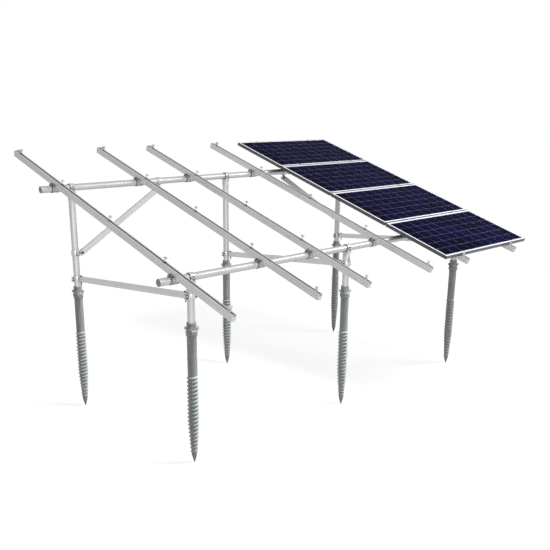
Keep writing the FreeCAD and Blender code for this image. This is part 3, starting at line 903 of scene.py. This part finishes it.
@dataclass(frozen=True)
class GroundScrews:
    """Six helical ground screws: pointed tube, welded flight, clamping band and hex bolts.

    Attributes:
        length: Height of the upper rim above the tip.
        radius: Radius of the tube.
        wall: Wall of the tube at its open end.
        seat: Radius of the seat around the post.
        seat_depth: Depth of the seat below the rim.
        tip_radius: Radius of the blunt tip.
        shoulder: Radius and height where the tip's cone starts.
        taper_top: Height at which the tube has its full radius.
        band_radius: Radius of the clamping band.
        band_low: Height of the band's lower edge.
        band_high: Height of the band's upper edge.
        bolt_height: Height of the four hex bolts above the band.
        pitch: Rise of one turn of the flight.
        section: The flight's half section from root to rim, each point with its distance off the
            tube and half of the thickness there.
        flight_low: Height at which the flight starts.
        flight_high: Height at which it ends.
        run_out: Share of a turn over which it runs out.
        narrow: Share of its width that it has at the tip.
        narrow_top: Height from which it widens, and height over which it does.
        soft: Radius of the band's edges.
        fillet: How far the band's welds stand off the tube.
        socket: Depth of the seat around the post.
    """

    length: float = 1.315
    radius: float = 0.0435
    wall: float = 0.004
    seat: float = 0.0333
    seat_depth: float = 0.016
    tip_radius: float = 0.004
    shoulder: tuple[float, float] = (0.025, 0.070)
    taper_top: float = 0.400
    band_radius: float = 0.050
    band_low: float = 1.195
    band_high: float = 1.243
    bolt_height: float = 1.2625
    pitch: float = 0.037
    section: tuple[tuple[float, float], ...] = (
        (-0.002, 0.0082), (0.0009, 0.0064), (0.0032, 0.0050), (0.0102, 0.0036), (0.0113, 0.0025),
    )
    flight_low: float = 0.092
    flight_high: float = 0.834
    run_out: float = 0.35
    narrow: float = 0.68
    narrow_top: tuple[float, float] = (0.1, 0.16)
    soft: float = 0.0015
    fillet: float = 0.0012
    socket: float = 0.2

    def core(self, height: float) -> float:
        """The tube's radius at a height."""
        share = (height - self.shoulder[1]) / (self.taper_top - self.shoulder[1])
        return self.shoulder[0] + min(max(share, 0.0), 1.0) * (self.radius - self.shoulder[0])

    def shaft(self, sketch: Sketch, place: Matrix) -> None:
        """Add the pointed tube with its band and open top."""
        rim = self.radius - self.wall
        sketch.lathe([
            (0.0, 0.0), (self.tip_radius - 0.001, 0.0), (self.tip_radius, 0.001),
            (self.shoulder[0] * 0.55, self.shoulder[1] * 0.48), self.shoulder,
            (self.core(0.18), 0.18), (self.core(0.3), 0.3), (self.radius, self.taper_top),
            (self.radius, 0.7), (self.radius, 0.95), (self.radius, self.band_low - 0.006),
            (self.radius + self.fillet, self.band_low - 0.0022),
            (self.band_radius - self.soft, self.band_low),
            (self.band_radius, self.band_low + self.soft),
            (self.band_radius, self.band_high - self.soft),
            (self.band_radius - self.soft, self.band_high),
            (self.radius + self.fillet, self.band_high + 0.0022),
            (self.radius, self.band_high + 0.006), (self.radius, self.length - 0.0012),
            (self.radius - 0.0012, self.length), (rim + 0.0008, self.length),
            (rim, self.length - 0.0008), (rim, self.length - self.seat_depth),
            (self.seat, self.length - self.seat_depth), (self.seat, self.length - self.socket),
            (0.0, self.length - self.socket),
        ], place, 48)

    def flight(self, sketch: Sketch, place: Matrix, steps: int = 30) -> None:
        """Add the helical flight, which follows the tube's taper and runs out at both ends.

        Args:
            sketch: The mesh in the making.
            place: Where the screw stands.
            steps: Number of sides in one turn.
        """
        section = [(off, -half) for off, half in self.section]
        section += [(off, half) for off, half in reversed(self.section)]
        turns = (self.flight_high - self.flight_low) / self.pitch
        mesh = sketch.mesh
        start = set(mesh.verts)
        ring = [mesh.verts.new((self.radius + r, 0.0, self.flight_low + z)) for r, z in section]
        face = mesh.faces.new(ring)
        bmesh.ops.spin(mesh, geom=[face], cent=(0, 0, 0), axis=(0, 0, 1),
                       dvec=(0, 0, self.pitch / steps), angle=math.tau * turns,
                       steps=round(steps * turns), use_merge=False, use_duplicate=False)
        made = [v for v in mesh.verts if v not in start]
        for vert in made:
            height = vert.co.z
            to_end = min(height - self.flight_low, self.flight_high - height)
            grown = min(max((height - self.narrow_top[0]) / self.narrow_top[1], 0.0), 1.0)
            low_share = self.narrow + (1 - self.narrow) * grown
            share = min(max(to_end / (self.pitch * self.run_out), 0.06), 1.0) * low_share
            flat = Vector((vert.co.x, vert.co.y, 0.0))
            off = flat.length - self.radius
            flat.length = self.core(height) + (off * share if off > 0 else off)
            vert.co = Vector((flat.x, flat.y, height))
        bmesh.ops.transform(mesh, matrix=place, verts=made)

    def bolts(self, sketch: Sketch, place: Matrix) -> None:
        """Add the four large bolts and the small screws of the band."""
        large = HexBolt(across=0.024, head=0.015, washer=0.015, washer_height=0.004)
        small = HexBolt(across=0.012, head=0.005, washer=0.008, washer_height=0.001)
        for number in range(4):
            turn = turned(45 + 90 * number, "Z")
            out = turned(90, "Y")
            sunk = slid(self.radius - 0.001, 0, self.bolt_height)
            large.add(sketch, place @ turn @ sunk @ out)
            for height, extra in ((self.band_low + 0.014, 20), (self.band_high - 0.014, 62)):
                spun = turned(90 * number + extra, "Z")
                seat = slid(self.band_radius - 0.001, 0, height)
                small.add(sketch, place @ spun @ seat @ out)

    def build(self, layout: Layout, material: bpy.types.Material, steel: bpy.types.Material) -> None:
        """Build all six screws in place of their CAD nodes, and their bolts."""
        fixings = Sketch()
        for row in Row:
            for column in Column:
                place = Matrix.Translation(layout.post(row, column))
                sketch = Sketch()
                self.flight(sketch, place)
                self.shaft(sketch, place)
                self.bolts(fixings, place)
                node = f"ground_screw_{row.value}_{column.value}"
                sketch.finish(f"{node}_detailed", material, "galvanised_steel", (node,))
        fixings.finish("ground_screw_bolts", steel, "galvanised_steel")


@dataclass(frozen=True)
class PostHeads:
    """The cast heads on the posts and the bolts that hold their caps on the beams.

    Attributes:
        edge: Radius of the castings' edges.
        ear: Distance of an ear bolt from the beam's axis.
        ear_height: Height of the ears' faces above and below the axis.
        set_screw_drop: Distance of the sleeve's set screw below the axis.
        sleeve: Radius of the sleeve.
        sunk: How deep the set screw's washer sits in it.
    """

    edge: float = 0.0012
    ear: float = 0.0482
    ear_height: float = 0.007
    set_screw_drop: float = 0.112
    sleeve: float = 0.0365
    sunk: float = 0.0004

    def build(self, layout: Layout, cast: bpy.types.Material, steel: bpy.types.Material) -> None:
        """Build castings and bolts."""
        nodes = ("post_heads_front", "post_heads_rear", "post_head_caps")
        soften(nodes, self.edge, "cast", cast, "cast_aluminium")
        sketch = Sketch()
        clamp = HexBolt(across=0.014, head=0.007, washer=0.0068, grip=self.ear_height * 2, tail=0.008)
        screw = HexBolt(across=0.013, head=0.006, washer=0.009)
        for row in Row:
            for column in Column:
                foot, beam = layout.post(row, column), layout.beam(row)
                for side in (-1, 1):
                    seat = Vector((foot.x, beam.y + side * self.ear, beam.z + self.ear_height))
                    clamp.add(sketch, Matrix.Translation(seat))
                out = -1 if row is Row.FRONT else 1
                wall = beam.y + out * (self.sleeve - self.sunk)
                seat = slid(foot.x, wall, beam.z - self.set_screw_drop)
                screw.add(sketch, seat @ turned(out * -90, "X"))
        sketch.finish("post_head_bolts", steel, "clamp_steel")


@dataclass(frozen=True)
class RailClamps:
    """The straps under the beams and the bolts beside the rails.

    Attributes:
        edge: Radius of the straps' edges.
        lip_top: Height of the lips above the beams' axes, off the slope.
        off_rail: Distance of a bolt from the rail's middle.
        along: Places of the bolts across the beam.
    """

    edge: float = 0.0008
    lip_top: float = 0.042
    off_rail: float = 0.0315
    along: tuple[float, ...] = (-0.02, 0.02)

    def build(self, layout: Layout, strap: bpy.types.Material, steel: bpy.types.Material) -> None:
        """Build straps and bolts."""
        nodes = ("rail_clamps_front", "rail_clamps_rear")
        soften(nodes, self.edge, "straps", strap, "clamp_steel")
        sketch = Sketch()
        bolt = HexBolt(across=0.013, head=0.008, washer=0.0085)
        reach = (layout.rear - layout.front).length
        for x in layout.rails:
            for start in (0.0, reach):
                for side in (-1, 1):
                    if side > 0 and x == layout.rails[-1]:
                        continue
                    across = x + side * self.off_rail
                    for along in self.along:
                        bolt.add(sketch, layout.slope(across, start + along, self.lip_top))
        sketch.finish("rail_clamp_bolts", steel, "clamp_steel")


@dataclass(frozen=True)
class Brace:
    """One brace: where its two clamps' axes are and how far off its bolts sit.

    Attributes:
        start: Point on the first tube's axis.
        end: Point on the second tube's axis.
        bolts: Distances of the bolts from start and from end.
    """

    start: Vector
    end: Vector
    bolts: tuple[float, float]


@dataclass(frozen=True)
class BraceClamps:
    """Collars on the posts, clamps on the rear beam, and the bolts through the braces' ends.

    Attributes:
        edge: Radius of the collars' edges.
        below_beam: How far the side braces' front ends are below the front beam.
        above_screw: How far their rear ends are above the rear screws.
        rear_above_screw: How far the rear braces' low ends are above the rear screws.
        beam_x: Distance of the rear braces' upper ends from the middle posts.
        lug_drop: Distance of the upper bolts below the rear beam's axis.
        bolt_off_post: Distance of a side brace's bolts from the posts' axes.
        pivot_reach: Distance of a rear brace's low bolt from the post's axis.
        half_height: Half of a brace's height.
        half_width: Half of its width.
        ear_half: Half of a collar ear's height.
        ear_reach: Where an ear starts and ends beside the post's axis.
        ear_faces: Distance of an ear's inner and outer face from the collar's split.
        closing_bolt: Distance of the closing bolts beside the post's axis.
        closing_lift: Height of the closing bolts above and below the collar's middle.
    """

    edge: float = 0.001
    below_beam: float = 0.164
    above_screw: float = 0.079
    rear_above_screw: float = 0.298
    beam_x: float = 0.965
    lug_drop: float = 0.075
    bolt_off_post: float = 0.077
    pivot_reach: float = 0.075
    half_height: float = 0.027
    half_width: float = 0.015
    ear_half: float = 0.026
    ear_reach: tuple[float, float] = (0.036, 0.059)
    ear_faces: tuple[float, float] = (0.0015, 0.009)
    closing_bolt: float = 0.050
    closing_lift: float = 0.014

    def braces(self, layout: Layout) -> list[Brace]:
        """The five braces."""
        made = []
        for column in Column:
            front, rear = layout.post(Row.FRONT, column), layout.post(Row.REAR, column)
            front.z = layout.front.z - self.below_beam
            rear.z = layout.screw_top + self.above_screw
            made.append(Brace(front, rear, (self.bolt_off_post, self.bolt_off_post)))
        centre = layout.post(Row.REAR, Column.MIDDLE).x
        for column, side in ((Column.LEFT, -1), (Column.RIGHT, 1)):
            low = layout.post(Row.REAR, column)
            low.z = layout.screw_top + self.rear_above_screw
            high = Vector((centre + side * self.beam_x, layout.rear.y, layout.rear.z - self.lug_drop))
            made.append(Brace(low, high, (self.pivot_reach, 0.0)))
        return made

    def aim(self, origin: Vector, direction: Vector) -> Matrix:
        """A place with X along a direction, Y level across it and Z up.

        Args:
            origin: Where it is.
            direction: Where X points.

        Returns:
            The matrix.
        """
        along = direction.normalized()
        across = Vector((0, 0, 1)).cross(along).normalized()
        turn = Matrix((along, across, along.cross(across))).transposed().to_4x4()
        return Matrix.Translation(origin) @ turn

    def build(self, layout: Layout, steel: bpy.types.Material, bolt_steel: bpy.types.Material) -> None:
        """Build collars, ears and bolts."""
        nodes = ("brace_collars_front", "brace_collars_rear", "brace_clamps_beam")
        soften(nodes, self.edge, "softened", steel, "clamp_steel")
        ears, bolts = Sketch(), Sketch()
        upright = HexBolt(across=0.017, head=0.009, washer=0.012, grip=self.half_height * 2, tail=0.026)
        level_bolt = HexBolt(across=0.021, head=0.009, washer=0.0135, grip=self.half_width * 2,
                             tail=0.012)
        for brace in self.braces(layout):
            run = brace.end - brace.start
            across = turned(90, "X")
            for origin, direction, off in ((brace.start, run, brace.bolts[0]),
                                           (brace.end, -run, brace.bolts[1])):
                collar = origin.copy()
                if abs(run.x) < abs(run.y):
                    place = self.aim(origin, direction)
                    upright.add(bolts, place @ slid(off, 0, self.half_height))
                else:
                    pivot = origin + direction * (off / abs(direction.x))
                    collar.z = pivot.z
                    place = Matrix.Translation(pivot) @ across
                    level_bolt.add(bolts, place @ slid(0, 0, self.half_width))
                if off:
                    self.ears(ears, bolts, self.aim(collar, Vector((direction.x, direction.y, 0))))
        ears.finish("brace_collar_ears", steel, "clamp_steel")
        bolts.finish("brace_bolts", bolt_steel, "clamp_steel")

    def ears(self, ears: Sketch, bolts: Sketch, level: Matrix) -> None:
        """Add a collar's two pairs of ears with the bolts that close it.

        Args:
            ears: The mesh of all ears.
            bolts: The mesh of all bolts.
            level: The collar's middle, with X towards the brace.
        """
        half, (near, far), (inner, outer) = self.ear_half, self.ear_reach, self.ear_faces
        closing = HexBolt(across=0.013, head=0.006, washer=0.0085, grip=outer * 2, tail=0.007)
        for side in (-1, 1):
            for back, front in ((-outer, -inner), (inner, outer)):
                ears.block((back, side * near, -half), (front, side * far, half), level, self.edge)
            for lift in (-self.closing_lift, self.closing_lift):
                spot = level @ slid(-outer, side * self.closing_bolt, lift)
                closing.add(bolts, spot @ turned(-90, "Y"))


@dataclass(frozen=True)
class ShadeRings:
    """Dark rings at both sides of everything that is clamped on the beams, painted shade of the clamps'
    end faces and gaps.

    Attributes:
        inner: Inner radius.
        head_outer: Outer radius at the post heads.
        strap_outer: Outer radius at the rails' straps and the braces' clamps.
        thickness: How far a ring stands out.
        nearest: Smallest distance between two clamped pieces that leaves room for a ring.
        head_half: Half of a post head's width.
        strap_half: Half of a rail strap's width.
        short_half: The same at the last rail's short lip.
    """

    inner: float = 0.0332
    head_outer: float = 0.0395
    strap_outer: float = 0.0375
    thickness: float = 0.0032
    nearest: float = 0.006
    head_half: float = 0.025
    strap_half: float = 0.040
    short_half: float = 0.0245

    def build(self, layout: Layout, ring_shade: bpy.types.Material) -> None:
        """Build all rings as one piece."""
        sketch = Sketch()
        for row in Row:
            ends = []
            beam = layout.beam(row)
            for column in Column:
                x = layout.post(row, column).x
                ends += [(x + side * self.head_half, side, self.head_outer) for side in (-1, 1)]
            for x in layout.rails:
                left = self.short_half if x == layout.rails[-1] else self.strap_half
                ends += [(x - left, -1, self.strap_outer), (x + self.strap_half, 1, self.strap_outer)]
            for x, side, outer in ends:
                if any(way == -side and abs(other - x) < self.nearest for other, way, _ in ends):
                    continue
                place = slid(x, beam.y, beam.z) @ turned(side * 90, "Y")
                sketch.ring(self.inner, outer, self.thickness, place)
        sketch.finish("clamp_liners", ring_shade, "cap_plastic")


@dataclass(frozen=True)
class Panels:
    """Frames, laminates, junction boxes and the clamps that hold the panels.

    Attributes:
        count: Number of panels.
        depth: A panel's side up the slope.
        gap: Gap between two panels.
        lower_edge: Where the lowest panel starts, up the slope from the front beam.
        rail_top: Height of the rails' upper faces off the slope.
        laminate_middle: Height of the laminates' middle off the slope.
        clamp_top: Height of the mid clamps' upper faces off the slope.
        foot: Height of the clamps' feet off the slope.
        foot_bolt: Distance of an end clamp's bolt from the panel's edge.
        slack: How much further out the end clamps of the bare rails stand.
        box_size: Size of a junction box.
        box_from_edge: Distance of its upper side from the panel's upper edge.
        half_laminate: Half of a laminate's thickness.
        nut: Half of a nut's width and depth, and its height above the rail.
        clamp_edge: Radius of the clamps' and nuts' edges.
    """

    count: int = 4
    depth: float = 0.822
    gap: float = 0.020
    lower_edge: float = -0.6855
    rail_top: float = 0.093
    laminate_middle: float = 0.1265
    clamp_top: float = 0.135
    foot: float = 0.099
    foot_bolt: float = 0.0143
    slack: float = 0.014
    box_size: tuple[float, float, float] = (0.112, 0.092, 0.022)
    box_from_edge: float = 0.095
    half_laminate: float = 0.0025
    nut: tuple[float, float, float] = (0.0122, 0.0098, 0.0064)
    clamp_edge: float = 0.0008

    def edges(self) -> list[float]:
        """The lower edge of each panel."""
        return [self.lower_edge + number * (self.depth + self.gap) for number in range(self.count)]

    def laminate(self, layout: Layout) -> bpy.types.Material:
        """The cells' finish, centred on the lowest panel."""
        centre = middle("panel_laminate_1")
        return SolarLaminate("cells_under_glass", tuple(centre), layout.tilt).make()

    def clamps(self, layout: Layout, cast: bpy.types.Material, steel: bpy.types.Material,
               nut_steel: bpy.types.Material) -> None:
        """Build the panel clamps with their bolts and the nuts on the rails."""
        nodes = ("panel_end_clamps", "panel_mid_clamps")
        soften(nodes, self.clamp_edge, "softened", cast, "cast_aluminium")
        heads, nuts = Sketch(), Sketch()
        bolt = HexBolt(across=0.013, head=0.007, washer=0.0085)
        top = self.edges()[-1] + self.depth
        half_x, half_y, height = self.nut
        for number, x in enumerate(layout.rails):
            slack = self.slack if number < len(layout.rails) - 2 else 0.0
            for edge in self.edges()[1:]:
                along = edge - self.gap / 2
                bolt.add(heads, layout.slope(x, along, self.clamp_top))
                nuts.block((-half_x, -half_y, 0.0), (half_x, half_y, height),
                           layout.slope(x, along, self.rail_top), self.clamp_edge)
            for along in (self.lower_edge - slack - self.foot_bolt, top + slack + self.foot_bolt):
                bolt.add(heads, layout.slope(x, along, self.foot))
        heads.finish("panel_clamp_bolts", steel, "clamp_steel")
        nuts.finish("panel_clamp_nuts", nut_steel, "clamp_steel")

    def boxes(self, layout: Layout, plastic: bpy.types.Material) -> None:
        """Build the junction boxes: a body with a lid, clips and two closed glands."""
        sketch = Sketch()
        width, depth, height = self.box_size
        x = middle("junction_boxes").x
        underside = self.laminate_middle - self.half_laminate
        for edge in self.edges():
            upper = edge + self.depth - self.box_from_edge
            place = layout.slope(x, upper - depth / 2, underside)
            half_w, half_d = width / 2, depth / 2
            sketch.block((-half_w, -half_d, -height * 0.62), (half_w, half_d, 0), place, 0.0035)
            lid_w, lid_d = half_w - 0.004, half_d - 0.004
            sketch.block((-lid_w, -lid_d, -height), (lid_w, lid_d, -0.01), place, 0.003)
            for side in (-1, 1):
                for row in (-0.022, 0.022):
                    sketch.block((side * half_w - 0.004, row - 0.006, -height * 0.8),
                                 (side * half_w + 0.0015, row + 0.006, -height * 0.3), place, 0.001)
                gland = place @ slid(side * 0.032, -half_d + 0.001, -height * 0.4) @ turned(90, "X")
                sketch.rod(0.0075, 0.006, gland, 20, edge=0.0008)
                sketch.hexagon(0.012, 0.012, gland)
        sketch.finish("junction_boxes_detailed", plastic, "box_plastic", ("junction_boxes",))


@dataclass(frozen=True)
class Viewpoint:
    """The camera of the picture.

    Attributes:
        position: Where it stands.
        yaw: Degrees from +Y towards +X.
        pitch: Degrees above the horizon.
        roll: Degrees about its own axis.
        lens: Focal length for a 36 mm sensor.
        shift: Shift of the frame to the right and up, in frame widths.
    """

    position: tuple[float, float, float] = (-5.90542, -5.78458, 3.06055)
    yaw: float = 43.45
    pitch: float = -16.74
    roll: float = 0.12
    lens: float = 48.97
    shift: tuple[float, float] = (0.0360, 0.1082)

    def build(self) -> None:
        """Make the camera and set it as the scene's."""
        data = bpy.data.cameras.new("picture_camera")
        data.lens = self.lens
        data.sensor_width = 36.0
        data.shift_x, data.shift_y = self.shift
        data.clip_end = 200.0
        camera = bpy.data.objects.new("picture_camera", data)
        turn = turned(-self.yaw, "Z")
        turn = turn @ turned(90 + self.pitch, "X")
        turn = turn @ turned(self.roll, "Z")
        camera.matrix_world = Matrix.Translation(self.position) @ turn
        bpy.context.scene.collection.objects.link(camera)
        bpy.context.scene.camera = camera


@dataclass(frozen=True)
class Softbox:
    """A soft lamp that looks at the middle of the mount.

    Attributes:
        name: Name of the lamp.
        position: Where it stands.
        size: Its width and height.
        power: Its power in watts.
        in_gloss: Whether metal shows it as a highlight.
        in_diffuse: Whether it lights matt surfaces.
        target: Height above the middle of the mount's base at which it looks.
    """

    name: str
    position: tuple[float, float, float]
    size: tuple[float, float]
    power: float
    in_gloss: bool = True
    in_diffuse: bool = True
    target: float = 1.3

    def build(self) -> None:
        """Make the lamp."""
        data = bpy.data.lights.new(self.name, "AREA")
        data.shape = "RECTANGLE"
        data.size, data.size_y = self.size
        data.energy = self.power
        lamp = bpy.data.objects.new(self.name, data)
        lamp.location = self.position
        look = Vector((0, 0, self.target)) - Vector(self.position)
        lamp.rotation_euler = look.to_track_quat("-Z", "Y").to_euler()
        lamp.visible_glossy, lamp.visible_diffuse = self.in_gloss, self.in_diffuse
        bpy.context.scene.collection.objects.link(lamp)


@dataclass(frozen=True)
class Studio:
    """White floor, white surroundings and soft lamps.

    Attributes:
        floor_size: Side of the floor.
        ambient: Strength of the surroundings as light.
        lamps: The softboxes.
    """

    floor_size: float = 160.0
    ambient: float = 0.2
    lamps: tuple[Softbox, ...] = (
        Softbox("key_softbox", (2.6, -4.6, 9.8), (2.5, 2.5), 950.0, in_gloss=False),
        Softbox("side_softbox", (6.6, -5.4, 6.6), (3.0, 3.0), 370.0),
        Softbox("strip_softbox", (-6.0, -7.2, 5.0), (3.0, 7.0), 800.0, in_diffuse=False),
    )

    def surroundings(self) -> None:
        """White for what the camera, gloss and glass see, a plain level as light."""
        world = bpy.data.worlds.new("studio_surroundings")
        world.use_nodes = True
        tree = world.node_tree
        background = tree.nodes["Background"]
        background.inputs["Color"].default_value = (1.0, 1.0, 1.0, 1.0)
        light = tree.nodes.new("ShaderNodeLightPath")
        seen = light.outputs["Is Camera Ray"]
        for other in ("Is Glossy Ray", "Is Transmission Ray"):
            either = tree.nodes.new("ShaderNodeMath")
            either.operation = "MAXIMUM"
            tree.links.new(seen, either.inputs[0])
            tree.links.new(light.outputs[other], either.inputs[1])
            seen = either.outputs["Value"]
        strength = tree.nodes.new("ShaderNodeMapRange")
        strength.inputs["To Min"].default_value = self.ambient
        strength.inputs["To Max"].default_value = 1.0
        tree.links.new(seen, strength.inputs["Value"])
        tree.links.new(strength.outputs["Result"], background.inputs["Strength"])
        bpy.context.scene.world = world

    def build(self) -> None:
        """Make floor, surroundings and lamps."""
        self.surroundings()
        mesh = bmesh.new()
        bmesh.ops.create_grid(mesh, x_segments=4, y_segments=4, size=self.floor_size / 2)
        data = bpy.data.meshes.new("studio_floor")
        mesh.to_mesh(data)
        mesh.free()
        data.materials.append(StudioFloor().make())
        floor = bpy.data.objects.new("studio_floor", data)
        bpy.context.scene.collection.objects.link(floor)
        for lamp in self.lamps:
            lamp.build()
        bpy.context.scene.view_settings.view_transform = "Standard"


@dataclass(frozen=True)
class Dressing:
    """Gives CAD nodes whose shape is right their finishes."""

    def paint(self, material: bpy.types.Material, *nodes: str) -> None:
        """Put one finish on CAD nodes.

        Args:
            material: The finish.
            nodes: Names of the nodes.
        """
        for node in nodes:
            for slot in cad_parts[node].material_slots:
                slot.material = material
        log.info("%s on %d nodes", material.name, len(nodes))

    def build(self, layout: Layout, laminate: bpy.types.Material) -> None:
        """Paint posts, beams, rails, braces, frames, laminates and caps."""
        pale, dull = screen(190, 190, 191), screen(181, 182, 183)
        posts = [f"post_{row.value}_{column.value}" for row in Row for column in Column]
        upright = DrawnAluminium("post_tube", pale, dull, Vector((0, 0, 1)), gloss=0.54)
        self.paint(upright.make(), *posts)
        beams = DrawnAluminium("beam_tube", pale, dull, Vector((1, 0, 0)))
        self.paint(beams.make(), "beam_front", "beam_rear")
        pale, dull = screen(203, 203, 204), screen(193, 194, 195)
        uphill = layout.rear - layout.front
        for number, x in enumerate(layout.rails, 1):
            rail = SlottedAluminium(f"rail_{number}_profile", pale, dull, uphill, gloss=0.38,
                                    origin=tuple(layout.slope(x, 0, 0).translation), tilt=layout.tilt)
            self.paint(rail.make(), f"rail_{number}")
        names = ("side_brace_left", "side_brace_middle", "side_brace_right",
                 "rear_brace_left", "rear_brace_right")
        for name, brace in zip(names, BraceClamps().braces(layout)):
            run = brace.end - brace.start
            profile = DrawnAluminium(f"{name}_profile", pale, dull, run, gloss=0.38)
            self.paint(profile.make(), name)
        # the frame's lit lip colour and the painted shade of its sides
        lip, side = screen(236, 236, 242), screen(96, 97, 93)
        edge = AnodisedFrame("panel_frame_anodised", lip, side, layout.tilt)
        self.paint(edge.make(), *[f"panel_frame_{number}" for number in range(1, 5)])
        self.paint(laminate, *[f"panel_laminate_{number}" for number in range(1, 5)])
        cap = MouldedPlastic("cap_plastic_grey", screen(226, 227, 228), screen(212, 213, 214))
        self.paint(cap.make(), "beam_end_caps")


def main() -> None:
    """Build the studio and every sub-assembly of the mount in order."""
    Viewpoint().build()
    Studio().build()
    layout = Layout.read()
    # the last two colours are a painted highlight for faces that look up and painted shade for faces
    # that look down
    galvanised = GalvanisedSteel("galvanised_screw", screen(198, 205, 202), screen(136, 144, 141),
                                 screen(238, 242, 240), screen(84, 91, 88)).make()
    cast = CastAluminium("cast_head", screen(196, 197, 198), screen(178, 180, 182)).make()
    clamp = CastAluminium("pressed_clamp", screen(196, 197, 199), screen(182, 184, 186)).make()
    collar = CastAluminium("cast_collar", screen(198, 199, 200), screen(184, 185, 187)).make()
    strap = BrushedSteel("strap_steel", screen(186, 187, 188), screen(158, 160, 161), 0.5).make()
    bolt = BrushedSteel("bolt_steel", screen(84, 85, 86), screen(60, 61, 62), 0.6).make()
    zinc = BrushedSteel("zinc_plated_bolt", screen(158, 163, 161), screen(112, 117, 115), 0.7).make()
    # near-black rings that paint the shade at both ends of each clamp on the beams
    ring_shade = MouldedPlastic("liner_rubber", screen(30, 31, 32), screen(44, 45, 46)).make()
    box = MouldedPlastic("box_plastic_black", screen(34, 35, 37), screen(48, 49, 51)).make()
    panels = Panels()
    Dressing().build(layout, panels.laminate(layout))
    GroundScrews().build(layout, galvanised, zinc)
    PostHeads().build(layout, cast, bolt)
    RailClamps().build(layout, strap, bolt)
    BraceClamps().build(layout, collar, bolt)
    ShadeRings().build(layout, ring_shade)
    panels.clamps(layout, clamp, strap, bolt)
    panels.boxes(layout, box)


if __name__ == "__main__":
    main()
